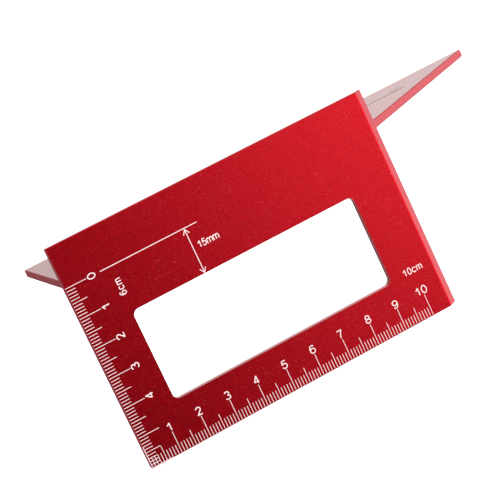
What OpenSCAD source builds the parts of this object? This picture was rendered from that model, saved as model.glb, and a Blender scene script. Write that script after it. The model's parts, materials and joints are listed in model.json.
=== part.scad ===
// Fixed 45/90 degree marking square for carpentry.
// An upright scale plate carries a level fence on its back. The left end is cut square,
// the right end is cut at 45 degrees through both walls. Scales are engraved and filled.
//
// Frame: X along the plate from the zero of the length scale, +Z up from the underside of
// the fence (the zero of the depth scale), Y = 0 at the back of the plate, +Y into the fence.

/* [Body] */
// Length of the fence's far edge, from the square end to the mitred tip
overall_length = 170; // [166:1:240]
// Depth from the scale face to the fence's far edge
overall_depth = 63; // [48:1:66]
// How far the plate hangs below the underside of the fence
drop = 60.3; // [60.3:0.1:80]
// How far the plate stands above the underside of the fence
rise = 13.2; // [8:0.1:30]
// Thickness of the plate
plate_t = 2.7; // [2:0.1:4]
// Thickness of the fence
fence_t = 2.7; // [2:0.1:4]
// Size of the small chamfer on the outside edges
edge_break = 0.25; // [0.1:0.05:0.5]

/* [Window] */
// Width of the window in the plate
window_w = 77; // [20:1:84]
// Height of the window
window_h = 30; // [10:1:32]
// Distance from the zero mark of the length scale to the window
window_left = 15; // [14:1:16]
// Distance from the underside of the fence down to the window
window_drop = 15; // [10:1:15]
// Radius of the window's corners
window_r = 2; // [1:0.5:5]

/* [Scales] */
// Distance from the square end to the zero mark of the length scale
scale_inset = 0.3; // [0.25:0.05:1]
// Last mark of the length scale, in millimetres
length_range = 100; // [50:10:100]
// Last numbered centimetre of the depth scale
last_depth_cm = 4; // [2:1:4]
// Width of a scale mark
line_w = 0.18; // [0.14:0.02:0.4]
// Width of the zero line and of the arrow below it
rule_w = 0.24; // [0.2:0.02:0.5]
// Depth of the engraving and of its filling
mark_depth = 0.12; // [0.05:0.01:0.3]
// Length of a millimetre mark
mm_mark = 2.8; // [2:0.1:3.8]
// Length of a five millimetre mark
five_mark = 4.8; // [4:0.1:6]
// Length of a centimetre mark
cm_mark = 6.9; // [6.2:0.1:7.4]

/* [Numerals] */
// Height of the scale numerals
numeral_h = 2.7; // [2:0.1:3]
// Width of a scale numeral over its height
numeral_w = 0.7; // [0.5:0.02:0.8]
// Height of the labels
label_h = 2.3; // [1.8:0.1:2.6]
// Width of a label's numeral over its height
label_w = 0.6; // [0.5:0.02:0.7]
// Width of the pen line over a character's height
pen = 0.12; // [0.1:0.01:0.18]

/* [Hidden] */

depth_range = 60;                             // last mark of the depth scale
square_x = -scale_inset;                      // plane of the square end
fence_far = overall_depth - plate_t;          // far edge of the fence
mitre_x = overall_length + square_x - fence_far; // the mitre plane is x - y = mitre_x
past = 400;                                   // reach of a cutting prism beyond the body
arc_step = 15;                                // angle between the points of a curved stroke
$fn = 48;

// Limits of the corner grid, where the two scales cross
grid_x = 7;
grid_z = -53;

// Zero line and the arrow from it to the window
zero_line_from = 11.5;
zero_line_to = 44.3;
arrow_x = 40;
arrow_half = 1;                               // half the width of an arrow head
arrow_len = 1.5;
arrow_gap = 0.05;                             // clear space between an arrow's tip and its line

// Numerals beside the centimetre marks; a gap is between characters, over their height
numeral_clear = 0.4;                          // from the end of a mark to its numeral
numeral_gap = 0.08;
ten_shift = -0.45;                            // the two-digit numeral stands off its mark

// Labels on the plate: where each word starts, and the gap between its characters
offset_label_at = [41.7, -7.5];
offset_label_gap = 0.05;
depth_label_at = [16.2, -9.5];
depth_label_gap = 0.14;
length_label_at = [96.4, -45.3];
length_label_gap = 0.1;

// Guide line on top of the fence, with a label behind each of its ends
guide_y = 37.5;
guide_from = 24;
guide_to = 137;
guide_w = 1;
fence_label_clear = 2;
fence_label_gap = 0.1;

// ---- Strokes -------------------------------------------------------------------------

function unit(v) = v / norm(v);
function left_of(v) = [-v.y, v.x];
function spread(a, b) = let (n = unit(left_of(a) + left_of(b))) n / (n * left_of(a));
// Offset direction at point i of an open path
function open_mitre(p, i) =
    let (last = len(p) - 1, k = max(i, 1), m = min(i, last - 1))
    spread(unit(p[k] - p[k - 1]), unit(p[m + 1] - p[m]));
// Offset direction at point i of a closed path
function ring_mitre(p, i) =
    let (n = len(p), before = p[(i + n - 1) % n], after = p[(i + 1) % n])
    spread(unit(p[i] - before), unit(after - p[i]));

module open_stroke(p, w) {
    offsets = [for (i = [0:len(p) - 1]) open_mitre(p, i) * w / 2];
    polygon(concat([for (i = [0:len(p) - 1]) p[i] + offsets[i]],
                   [for (i = [len(p) - 1:-1:0]) p[i] - offsets[i]]));
}

module ring_stroke(p, w) {
    offsets = [for (i = [0:len(p) - 1]) ring_mitre(p, i) * w / 2];
    difference() {
        polygon([for (i = [0:len(p) - 1]) p[i] - offsets[i]]);
        polygon([for (i = [0:len(p) - 1]) p[i] + offsets[i]]);
    }
}

// ---- Characters ----------------------------------------------------------------------
// Each character is a list of strokes on a unit square, which is then set to its height
// and width. A stroke whose first entry is true is a closed ring.

function curve(c, r, from, to) =
    let (n = ceil(abs(to - from) / arc_step))
    [for (k = [0:n]) let (a = from + (to - from) * k / n) c + [r.x * cos(a), r.y * sin(a)]];
function line(points) = [false, points];
function ring(c, r) = [true, [for (a = [0:arc_step:359]) c + [r.x * cos(a), r.y * sin(a)]]];

six = [ring([0.5, 0.31], [0.5, 0.31]),
       line(concat(curve([0.56, 0.5], [0.56, 0.5], 48, 180), [[0, 0.31]]))];
function turned(strokes) = [for (s = strokes) [s[0], [for (q = s[1]) [1, 1] - q]]];

function strokes_of(ch) =
    ch == "0" ? [ring([0.5, 0.5], [0.5, 0.5])] :
    ch == "1" ? [line([[0.62, 0], [0.62, 1]]), line([[0.62, 0.97], [0.08, 0.68]])] :
    ch == "2" ? [line(concat(curve([0.48, 0.72], [0.46, 0.28], 170, -30), [[0.05, 0.02]])),
                 line([[0, 0], [1, 0]])] :
    ch == "3" ? [line(curve([0.47, 0.75], [0.44, 0.25], 155, -90)),
                 line(curve([0.48, 0.26], [0.5, 0.26], 90, -160))] :
    ch == "4" ? [line([[0.74, 1], [0, 0.29]]), line([[0, 0.26], [1, 0.26]]),
                 line([[0.74, 0], [0.74, 1]])] :
    ch == "5" ? [line([[0.14, 1], [0.92, 1]]), line([[0.17, 1], [0.05, 0.48]]),
                 line(curve([0.48, 0.32], [0.5, 0.32], 150, -158))] :
    ch == "6" ? six :
    ch == "7" ? [line([[0, 1], [1, 1]]), line([[0.98, 1], [0.56, 0.5], [0.38, 0]])] :
    ch == "8" ? [ring([0.5, 0.755], [0.42, 0.245]), ring([0.5, 0.26], [0.5, 0.26])] :
    ch == "9" ? turned(six) :
    ch == "c" ? [line(curve([0.55, 0.37], [0.55, 0.37], 42, 318))] :
    ch == "m" ? [line([[0, 0], [0, 0.76]]),
                 line(concat(curve([0.25, 0.5], [0.25, 0.24], 180, 0), [[0.5, 0]])),
                 line(concat(curve([0.75, 0.5], [0.25, 0.24], 180, 0), [[1, 0]]))] :
    [ring([0.5, 0.82], [0.5, 0.18])];         // any other character is a degree sign

// Width of a character over its height, where w is the width of a numeral
function width_of(ch, w) = ch == "m" ? 1.47 * w : ch == "c" ? 0.95 * w : ch == "*" ? 0.77 * w : w;

module character(ch, h, w) {
    cell = [width_of(ch, w) - pen, 1 - pen] * h;
    for (s = strokes_of(ch)) {
        points = [for (q = s[1]) [q.x * cell.x, q.y * cell.y] + [1, 1] * pen * h / 2];
        if (s[0]) ring_stroke(points, pen * h);
        else open_stroke(points, pen * h);
    }
}

// Start of character i in a word, and the end of the word where i is its length
function start_of(word, i, h, w, gap) =
    i == 0 ? 0 : start_of(word, i - 1, h, w, gap) + (width_of(word[i - 1], w) + gap) * h;

module word(word, h, w, gap) {
    for (i = [0:len(word) - 1])
        translate([start_of(word, i, h, w, gap), 0]) character(word[i], h, w);
}

function word_len(word, h, w, gap) = start_of(word, len(word), h, w, gap) - gap * h;

// ---- Marks, drawn on the XZ plane of the plate ---------------------------------------

function mark_len(i) = i % 10 == 0 ? cm_mark : i % 5 == 0 ? five_mark : mm_mark;

// A mark of the length scale, up from the lower zero corner
module length_mark(i)
    translate([i - line_w / 2, -depth_range])
        square([line_w, mark_len(i) + line_w / 2]);

// A mark of the depth scale, in from the square end
module depth_mark(i, reach)
    translate([0, -i - line_w / 2]) square([reach + line_w / 2, line_w]);

module corner_grid_marks() {
    translate([-line_w / 2, -depth_range - line_w / 2]) square([line_w, cm_mark + line_w]);
    depth_mark(depth_range, cm_mark);
    for (i = [1:grid_x]) length_mark(i);
    for (i = [-grid_z:depth_range - 1]) depth_mark(i, mark_len(i));
}

module length_marks() for (i = [grid_x + 1:length_range]) length_mark(i);

module depth_marks() for (i = [0:-grid_z - 1]) depth_mark(i, mark_len(i));

module length_numerals() {
    for (cm = [1:length_range / 10]) {
        name = str(cm);
        size = word_len(name, numeral_h, numeral_w, numeral_gap);
        shift = len(name) > 1 ? ten_shift : 0;
        translate([10 * cm - size / 2 + shift, cm_mark + numeral_clear - depth_range])
            word(name, numeral_h, numeral_w, numeral_gap);
    }
}

module depth_numerals() {
    for (cm = [0:last_depth_cm])
        translate([cm_mark + numeral_clear + numeral_h, -10 * cm - numeral_w * numeral_h / 2])
            rotate(90) character(str(cm), numeral_h, numeral_w);
}

module zero_line_mark()
    translate([zero_line_from, -rule_w / 2])
        square([zero_line_to - zero_line_from, rule_w]);

// Arrow head with its tip at the origin, pointing up
module arrow_head() {
    tip_run = rule_w / 2 / sin(atan(arrow_half / arrow_len));
    open_stroke([[-arrow_half, -arrow_len - tip_run], [0, -tip_run],
                 [arrow_half, -arrow_len - tip_run]], rule_w);
}

module arrow_mark() {
    top = -rule_w / 2 - arrow_gap;
    bottom = -window_drop + arrow_gap;
    translate([arrow_x, top]) arrow_head();
    translate([arrow_x, bottom]) mirror([0, 1]) arrow_head();
    translate([arrow_x - rule_w / 2, bottom + rule_w])
        square([rule_w, top - bottom - 2 * rule_w]);
}

module offset_label_mark()
    translate(offset_label_at) word("15mm", label_h, label_w, offset_label_gap);

module depth_label_mark()
    translate(depth_label_at) rotate(90) word("6cm", label_h, label_w, depth_label_gap);

module length_label_mark()
    translate(length_label_at) word("10cm", label_h, label_w, length_label_gap);

module plate_marks() {
    corner_grid_marks();
    length_marks();
    length_numerals();
    depth_marks();
    depth_numerals();
    zero_line_mark();
    arrow_mark();
    offset_label_mark();
    depth_label_mark();
    length_label_mark();
}

// ---- Marks, drawn on the XY plane of the fence ---------------------------------------

module guide_line_mark()
    translate([guide_from, guide_y - guide_w / 2]) square([guide_to - guide_from, guide_w]);

module fence_label(name, x)
    translate([x, guide_y + guide_w / 2 + fence_label_clear])
        word(name, label_h, label_w, fence_label_gap);

module mitre_label_mark()
    fence_label("45*", guide_to - word_len("45*", label_h, label_w, fence_label_gap));

module square_label_mark() fence_label("90*", guide_from);

module fence_marks() {
    guide_line_mark();
    mitre_label_mark();
    square_label_mark();
}

// ---- Solids --------------------------------------------------------------------------

// A flat mark sunk into the scale face; over is how far it runs out of the face
module in_plate(over = 0)
    translate([0, mark_depth - plate_t, 0]) rotate([90, 0, 0])
        linear_extrude(mark_depth + over) children();

// A flat mark sunk into the top of the fence
module in_fence(over = 0)
    translate([0, 0, fence_t - mark_depth]) linear_extrude(mark_depth + over) children();

// A wall between two levels, cut square on the left and at 45 degrees on the right, with
// the upper and lower edges of both cuts broken
module between_ends(low, high) {
    profile = [[0, low + edge_break], [edge_break, low], [past, low],
               [past, high], [edge_break, high], [0, high - edge_break]];
    intersection() {
        translate([square_x, past, 0]) rotate([90, 0, 0])
            linear_extrude(2 * past) polygon(profile);
        translate([mitre_x, 0, 0]) rotate([0, 0, -45]) translate([0, past, 0])
            rotate([90, 0, 0]) linear_extrude(2 * past) polygon([for (q = profile) [-q.x, q.y]]);
    }
}

// A wall's cross-section, with Y and Z as drawn, run along X past both ends
module along_x(outline)
    translate([-past, 0, 0]) rotate([90, 0, 90]) linear_extrude(2 * past) polygon(outline);

// Plan of the plate; back is the size of the break on its two rear corners
module plate_plan(back) {
    e = edge_break;
    slant = sqrt(0.5);
    front_x = mitre_x - plate_t;
    polygon([[square_x, e - plate_t], [square_x + e, -plate_t],
             [front_x - e, -plate_t], [front_x + e * slant, e * slant - plate_t],
             [mitre_x - back * slant, -back * slant], [mitre_x - back, 0],
             [square_x + back, 0], [square_x, -back]]);
}

module plate_body() {
    e = edge_break;
    intersection() {
        between_ends(-drop, rise);
        along_x([[e - plate_t, -drop], [-e, -drop], [0, e - drop], [0, rise - e],
                 [-e, rise], [e - plate_t, rise], [-plate_t, rise - e], [-plate_t, e - drop]]);
        union() {
            translate([0, 0, -drop]) linear_extrude(drop + rise) plate_plan(edge_break);
            linear_extrude(fence_t) plate_plan(0.001);
        }
    }
}

module window_shape() {
    for (x = [window_r, window_w - window_r], z = [window_r, window_h - window_r])
        translate([x, z]) circle(window_r);
    translate([window_r, 0]) square([window_w - 2 * window_r, window_h]);
    translate([0, window_r]) square([window_w, window_h - 2 * window_r]);
}

module scale_plate() color("#b80f1e") difference() {
    plate_body();
    translate([window_left, 1, -window_drop - window_h]) rotate([90, 0, 0])
        linear_extrude(plate_t + 2) window_shape();
    in_plate(1) plate_marks();
}

module fence() color("#c81a2a") difference() {
    e = edge_break;
    tip_x = mitre_x + fence_far;
    slant = sqrt(0.5);
    intersection() {
        between_ends(0, fence_t);
        along_x([[0, 0], [fence_far - e, 0], [fence_far, e], [fence_far, fence_t - e],
                 [fence_far - e, fence_t], [0, fence_t]]);
        linear_extrude(fence_t)
            polygon([[square_x, 0], [mitre_x, 0],
                     [tip_x - e * slant, fence_far - e * slant], [tip_x - e, fence_far],
                     [square_x + e, fence_far], [square_x, fence_far - e]]);
    }
    in_fence(1) fence_marks();
}

module corner_grid() color("white") in_plate() corner_grid_marks();
module length_scale_marks() color("white") in_plate() length_marks();
module length_scale_numerals() color("white") in_plate() length_numerals();
module depth_scale_marks() color("white") in_plate() depth_marks();
module depth_scale_numerals() color("white") in_plate() depth_numerals();
module zero_line() color("white") in_plate() zero_line_mark();
module window_offset_arrow() color("white") in_plate() arrow_mark();
module window_offset_label() color("white") in_plate() offset_label_mark();
module depth_range_label() color("white") in_plate() depth_label_mark();
module length_range_label() color("white") in_plate() length_label_mark();
module fence_guide_line() color("dimgray") in_fence() guide_line_mark();
module mitre_end_label() color("dimgray") in_fence() mitre_label_mark();
module square_end_label() color("dimgray") in_fence() square_label_mark();

scale_plate();
fence();
corner_grid();
length_scale_marks();
length_scale_numerals();
depth_scale_marks();
depth_scale_numerals();
zero_line();
window_offset_arrow();
window_offset_label();
depth_range_label();
length_range_label();
fence_guide_line();
mitre_end_label();
square_end_label();
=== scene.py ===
"""Looks for the fixed 45/90 degree marking square: red anodised aluminium with filled scales."""
import json
import math

import bpy
from mathutils import Matrix, Vector


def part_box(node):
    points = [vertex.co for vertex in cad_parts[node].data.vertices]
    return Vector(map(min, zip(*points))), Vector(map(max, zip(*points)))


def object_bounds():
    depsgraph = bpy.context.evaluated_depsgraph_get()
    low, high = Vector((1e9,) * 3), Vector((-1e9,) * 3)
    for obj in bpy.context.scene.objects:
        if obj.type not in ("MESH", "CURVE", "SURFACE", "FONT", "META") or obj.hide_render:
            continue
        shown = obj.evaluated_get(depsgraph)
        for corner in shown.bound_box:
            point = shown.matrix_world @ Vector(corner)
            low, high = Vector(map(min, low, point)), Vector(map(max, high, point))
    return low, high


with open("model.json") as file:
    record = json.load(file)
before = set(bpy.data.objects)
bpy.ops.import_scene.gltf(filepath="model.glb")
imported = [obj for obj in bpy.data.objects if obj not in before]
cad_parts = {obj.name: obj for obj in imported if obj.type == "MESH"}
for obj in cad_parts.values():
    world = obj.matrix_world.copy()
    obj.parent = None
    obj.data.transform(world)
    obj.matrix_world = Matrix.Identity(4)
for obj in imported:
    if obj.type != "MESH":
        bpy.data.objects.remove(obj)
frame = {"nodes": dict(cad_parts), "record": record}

MM = 0.001

cad_low, cad_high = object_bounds()
low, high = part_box("scale_plate")
MIDDLE = (low + high) / 2
FLOOR_Z = cad_low.z
FLOOR_SIZE = 40


# ---- Node helpers ------------------------------------------------------------------------


class Nodes:
    """A material's or world's node tree, with short calls to add and join nodes."""

    def __init__(self, owner):
        owner.use_nodes = True
        self.tree = owner.node_tree
        self.tree.nodes.clear()

    def add(self, kind, **settings):
        node = self.tree.nodes.new(kind)
        for name, value in settings.items():
            setattr(node, name, value)
        return node

    def join(self, source, target):
        self.tree.links.new(source, target)

    def noise(self, where, scale, detail=2.0, roughness=0.5):
        node = self.add("ShaderNodeTexNoise")
        node.inputs["Scale"].default_value = scale
        node.inputs["Detail"].default_value = detail
        node.inputs["Roughness"].default_value = roughness
        self.join(where, node.inputs["Vector"])
        return node.outputs["Fac"]

    def remap(self, value, from_low, from_high, to_low, to_high):
        node = self.add("ShaderNodeMapRange", clamp=True)
        for name, number in zip(
            ("From Min", "From Max", "To Min", "To Max"), (from_low, from_high, to_low, to_high)
        ):
            node.inputs[name].default_value = number
        self.join(value, node.inputs["Value"])
        return node.outputs["Result"]

    def math(self, operation, a, b):
        node = self.add("ShaderNodeMath", operation=operation)
        for socket, value in zip(node.inputs, (a, b)):
            if isinstance(value, (int, float)):
                socket.default_value = value
            else:
                self.join(value, socket)
        return node.outputs["Value"]

    def mix_colour(self, factor, colour_a, colour_b):
        node = self.add("ShaderNodeMix", data_type="RGBA")
        self.join(factor, node.inputs["Factor"])
        for socket, colour in zip((node.inputs[6], node.inputs[7]), (colour_a, colour_b)):
            if isinstance(colour, tuple):
                socket.default_value = (*colour, 1)
            else:
                self.join(colour, socket)
        return node.outputs[2]

    def bump(self, height, distance, strength, after=None):
        node = self.add("ShaderNodeBump")
        node.inputs["Distance"].default_value = distance
        node.inputs["Strength"].default_value = strength
        self.join(height, node.inputs["Height"])
        if after:
            self.join(after, node.inputs["Normal"])
        return node.outputs["Normal"]

    def surface(self, shader):
        out = self.add("ShaderNodeOutputMaterial")
        self.join(shader, out.inputs["Surface"])


def object_coordinates(nodes):
    return nodes.add("ShaderNodeTexCoord").outputs["Object"]


def stretched(nodes, where, scale):
    node = nodes.add("ShaderNodeMapping")
    node.inputs["Scale"].default_value = scale
    nodes.join(where, node.inputs["Vector"])
    return node.outputs["Vector"]


# ---- Materials ---------------------------------------------------------------------------

# Linear colours, each as the darker and the lighter end of a fine grain
RED_DYE = ((0.55, 0.0024, 0.0105), (0.65, 0.0040, 0.0135))
# Sawn ends: a paler colour, partly their real sawn finish and partly a painted highlight of the
# strong light from the right
PALE_SAWN_AND_HIGHLIGHT = ((0.61, 0.100, 0.118), (0.67, 0.125, 0.145))
# Painted glints: pale pink specks in the base colour, standing for the blasted surface's sparkle
PAINTED_GLINT = (0.95, 0.28, 0.33)
WHITE_PAINT = ((0.84, 0.68, 0.68), (0.92, 0.76, 0.76))
GREY_PAINT = ((0.05, 0.05, 0.055), (0.09, 0.085, 0.09))
PAPER = ((0.9, 0.9, 0.9), (0.94, 0.94, 0.94))

# Grains across a metre
BLAST_GRAIN = 2000
PATCHES = 500
# size of the painted glints
PAINTED_GLINT_GRAIN = 1500
EXTRUSION_LINES = (12, 1600, 1600)
PAINT_GRAIN = 5000
PAPER_GRAIN = 400

SAWN_ROUGHNESS = 0.6
SAWN_FACING = (0.5, 0.62)      # how far a sawn face points along the bar
SAWN_PLACE = (0.42, 0.44)      # its distance from the middle, over the plate's length
PAPER_GLOW = 0.85


def sawn_faces(nodes, where):
    """1 on the bar's two sawn ends, 0 on its long faces and inside the window."""
    facing = nodes.add("ShaderNodeSeparateXYZ")
    nodes.join(nodes.add("ShaderNodeTexCoord").outputs["Normal"], facing.inputs["Vector"])
    across = nodes.remap(nodes.math("ABSOLUTE", facing.outputs["X"], 0), *SAWN_FACING, 0, 1)
    place = nodes.add("ShaderNodeSeparateXYZ")
    nodes.join(where, place.inputs["Vector"])
    from_middle = nodes.math("ABSOLUTE", nodes.math("SUBTRACT", place.outputs["X"], MIDDLE.x), 0)
    near_end, at_end = (share * (high.x - low.x) for share in SAWN_PLACE)
    return nodes.math("MULTIPLY", across, nodes.remap(from_middle, near_end, at_end, 0, 1))


def red_anodised():
    """Blasted aluminium under a dyed oxide film: grain with painted glints, and sawn faces
    paler, partly their own finish and partly painted highlight.
    """
    material = bpy.data.materials.new("red_anodised")
    nodes = Nodes(material)
    where = object_coordinates(nodes)
    grain = nodes.noise(where, BLAST_GRAIN, 2.0, 0.6)
    specks = nodes.noise(where, BLAST_GRAIN, 0.0)
    patches = nodes.noise(where, PATCHES, 3.0)
    lines = nodes.noise(stretched(nodes, where, EXTRUSION_LINES), 1.0, 3.0)
    sawn = sawn_faces(nodes, where)

    shader = nodes.add("ShaderNodeBsdfPrincipled")
    faint_patches = nodes.math("MULTIPLY", patches, 0.15)
    tone = nodes.math("ADD", nodes.math("MULTIPLY", grain, 0.85), faint_patches)
    depth = nodes.remap(tone, 0.36, 0.66, 0, 1)
    dyed = nodes.mix_colour(depth, *RED_DYE)
    # Painted glints: pale specks mixed into the dyed colour, standing for the sparkle of the
    # blasted grain
    painted_glints = nodes.remap(nodes.noise(where, PAINTED_GLINT_GRAIN, 0.0), 0.73, 0.81, 0, 0.25)
    dyed = nodes.mix_colour(painted_glints, dyed, PAINTED_GLINT)
    # Sawn ends paler: partly their own sawn finish, partly painted highlight
    pale_and_highlit = nodes.mix_colour(depth, *PALE_SAWN_AND_HIGHLIGHT)
    nodes.join(nodes.mix_colour(sawn, dyed, pale_and_highlit), shader.inputs["Base Color"])
    blasted = nodes.remap(patches, 0.3, 0.7, 0.25, 0.28)
    sawn_roughness = nodes.math("MULTIPLY", sawn, SAWN_ROUGHNESS)
    nodes.join(nodes.math("MAXIMUM", blasted, sawn_roughness), shader.inputs["Roughness"])
    shader.inputs["Metallic"].default_value = 1.0
    nodes.join(nodes.math("SUBTRACT", 1, sawn), shader.inputs["Coat Weight"])
    shader.inputs["Coat Roughness"].default_value = 0.06
    shader.inputs["Coat IOR"].default_value = 1.2
    fine = nodes.bump(grain, 0.000015, 0.5)
    nodes.join(nodes.bump(lines, 0.00002, 0.12, fine), shader.inputs["Normal"])
    nodes.join(nodes.bump(specks, 0.00004, 1.0), shader.inputs["Coat Normal"])
    nodes.surface(shader.outputs["BSDF"])
    return material


def paint_filling(name, shades, shine):
    """Matt paint wiped into the engraving."""
    material = bpy.data.materials.new(name)
    nodes = Nodes(material)
    where = object_coordinates(nodes)
    grain = nodes.noise(where, PAINT_GRAIN, 2.0)
    shader = nodes.add("ShaderNodeBsdfPrincipled")
    colour = nodes.mix_colour(nodes.remap(grain, 0.3, 0.7, 0, 1), *shades)
    nodes.join(colour, shader.inputs["Base Color"])
    nodes.join(nodes.remap(grain, 0.3, 0.7, 0.6, 0.8), shader.inputs["Roughness"])
    shader.inputs["Specular IOR Level"].default_value = shine
    nodes.join(nodes.bump(grain, 0.00002, 0.4), shader.inputs["Normal"])
    nodes.surface(shader.outputs["BSDF"])
    return material


def floor_paper():
    material = bpy.data.materials.new("floor_paper")
    nodes = Nodes(material)
    where = object_coordinates(nodes)
    shader = nodes.add("ShaderNodeBsdfPrincipled")
    grain = nodes.noise(where, PAPER_GRAIN, 3.0)
    nodes.join(nodes.mix_colour(grain, *PAPER), shader.inputs["Base Color"])
    shader.inputs["Roughness"].default_value = 0.9
    shader.inputs["Emission Color"].default_value = (1, 1, 1, 1)
    shader.inputs["Emission Strength"].default_value = PAPER_GLOW
    nodes.surface(shader.outputs["BSDF"])
    return material


def assign(node_names, material):
    for name in node_names:
        mesh = frame["nodes"][name].data
        mesh.materials.clear()
        mesh.materials.append(material)


def finish_surfaces():
    slots = {}
    for entry in frame["record"]["subparts"]:
        slots.setdefault(entry["material_slot"], []).append(entry["node"])
    assign(slots["red_anodised"], red_anodised())
    assign(slots["white_fill"], paint_filling("white_fill", WHITE_PAINT, 0.5))
    assign(slots["grey_fill"], paint_filling("grey_fill", GREY_PAINT, 0.05))


# ---- Floor, light and camera -------------------------------------------------------------


def floor():
    """Pale paper under the object, left out of its reflections."""
    bpy.ops.mesh.primitive_plane_add(size=FLOOR_SIZE, location=(0, 0, FLOOR_Z))
    plane = bpy.context.object
    plane.name = "floor"
    plane.data.materials.append(floor_paper())
    plane.visible_glossy = False


# Brightness of the studio's walls against how far a direction points to the right, -1 to 1: the
# half in front of the scale face, and the half behind it
FRONT = (
    (-1.0, 0.75), (-0.6, 0.7), (-0.3, 0.55), (-0.05, 0.35), (0.08, 0.17),
    (0.17, 0.19), (0.24, 0.75), (0.31, 1.7), (0.38, 2.4), (0.46, 2.4), (0.6, 1.5), (1.0, 0.6),
)
BACK = (
    (-1.0, 0.45), (-0.3, 0.35), (-0.1, 0.4), (0.13, 0.7), (0.35, 0.95), (0.6, 0.75), (1.0, 0.6),
)
BRIGHTEST = 2.4
SIDE_LIGHT = 1.6          # added low down on the far right
OVERHEAD = 0.9            # high in front
PAPER_WHITE = 1.05        # the backdrop as the camera sees it
SOFT_FILL = 1.12          # the backdrop as light on matt surfaces


def brightness(nodes, across, stops):
    """A smooth curve through stops of (across, brightness), scaled to BRIGHTEST."""
    ramp = nodes.add("ShaderNodeValToRGB")
    ramp.color_ramp.interpolation = "B_SPLINE"
    elements = ramp.color_ramp.elements
    while len(elements) < len(stops):
        elements.new(0.5)
    for element, (place, bright) in zip(elements, stops):
        element.position = (place + 1) / 2
        element.color = (bright / BRIGHTEST,) * 3 + (1,)
    nodes.join(nodes.remap(across, -1, 1, 0, 1), ramp.inputs["Fac"])
    return ramp.outputs["Color"]


def shaped_room(nodes):
    """Pale all round behind, and a broad light in front on the right."""
    direction = nodes.add("ShaderNodeSeparateXYZ")
    nodes.join(nodes.add("ShaderNodeTexCoord").outputs["Generated"], direction.inputs["Vector"])
    across, along, up = (direction.outputs[axis] for axis in "XYZ")
    rise = nodes.remap(up, -0.34, -0.1, 0.28, 1)
    front = nodes.math("MULTIPLY", brightness(nodes, across, FRONT), rise)
    upper = nodes.remap(up, 0.0, 0.3, 0, 1)
    lift = nodes.math("MULTIPLY", upper, nodes.math("SUBTRACT", OVERHEAD / BRIGHTEST, front))
    front = nodes.math("ADD", front, lift)
    haze = nodes.remap(up, -0.2, 0.2, 0.8, 1.0)
    back = nodes.math("MULTIPLY", brightness(nodes, across, BACK), haze)
    far_right = nodes.remap(across, 0.6, 0.85, 0, SIDE_LIGHT)
    side = nodes.math("MULTIPLY", far_right, nodes.remap(up, -0.1, 0.1, 1, 0))
    behind = nodes.remap(along, -0.3, 0.2, 0, 1)
    change = nodes.math("MULTIPLY", behind, nodes.math("SUBTRACT", back, front))
    walls = nodes.math("MULTIPLY", nodes.math("ADD", front, change), BRIGHTEST)
    room = nodes.add("ShaderNodeBackground")
    nodes.join(nodes.math("ADD", walls, side), room.inputs["Strength"])
    room.inputs["Color"].default_value = (1, 1, 1, 1)
    return room.outputs["Background"]


def surroundings():
    """A soft studio: a shaped room in reflections, and even white paper elsewhere."""
    world = bpy.data.worlds.new("studio")
    nodes = Nodes(world)
    ray = nodes.add("ShaderNodeLightPath")
    paper = nodes.add("ShaderNodeBackground")
    paper.inputs["Color"].default_value = (1, 1, 1, 1)
    strength = nodes.remap(ray.outputs["Is Camera Ray"], 0, 1, SOFT_FILL, PAPER_WHITE)
    nodes.join(strength, paper.inputs["Strength"])
    even = nodes.math("MAXIMUM", ray.outputs["Is Camera Ray"], ray.outputs["Is Diffuse Ray"])
    choice = nodes.add("ShaderNodeMixShader")
    nodes.join(even, choice.inputs["Fac"])
    nodes.join(shaped_room(nodes), choice.inputs[1])
    nodes.join(paper.outputs["Background"], choice.inputs[2])
    out = nodes.add("ShaderNodeOutputWorld")
    nodes.join(choice.outputs["Shader"], out.inputs["Surface"])
    bpy.context.scene.world = world
    bpy.context.scene.view_settings.view_transform = "Standard"


CAMERA_PLACE = Vector((-77.1, -537.5, 77.1)) * MM
CAMERA_HEADING = 13.933   # degrees from +Y towards +X
CAMERA_PITCH = -9.497     # degrees above the horizon
CAMERA_ROLL = -25.236     # degrees, the right side down
CAMERA_LENS = 133.32      # millimetres on a 36 mm frame


def camera():
    data = bpy.data.cameras.new("camera")
    data.sensor_width = 36
    data.lens = CAMERA_LENS
    data.clip_start = 0.01
    data.clip_end = 100
    eye = bpy.data.objects.new("camera", data)
    turn = (
        Matrix.Rotation(math.radians(-CAMERA_HEADING), 4, "Z")
        @ Matrix.Rotation(math.radians(90 + CAMERA_PITCH), 4, "X")
        @ Matrix.Rotation(math.radians(CAMERA_ROLL), 4, "Z")
    )
    eye.matrix_world = Matrix.Translation(CAMERA_PLACE) @ turn
    bpy.context.scene.collection.objects.link(eye)
    bpy.context.scene.camera = eye


camera()
finish_surfaces()
floor()
surroundings()
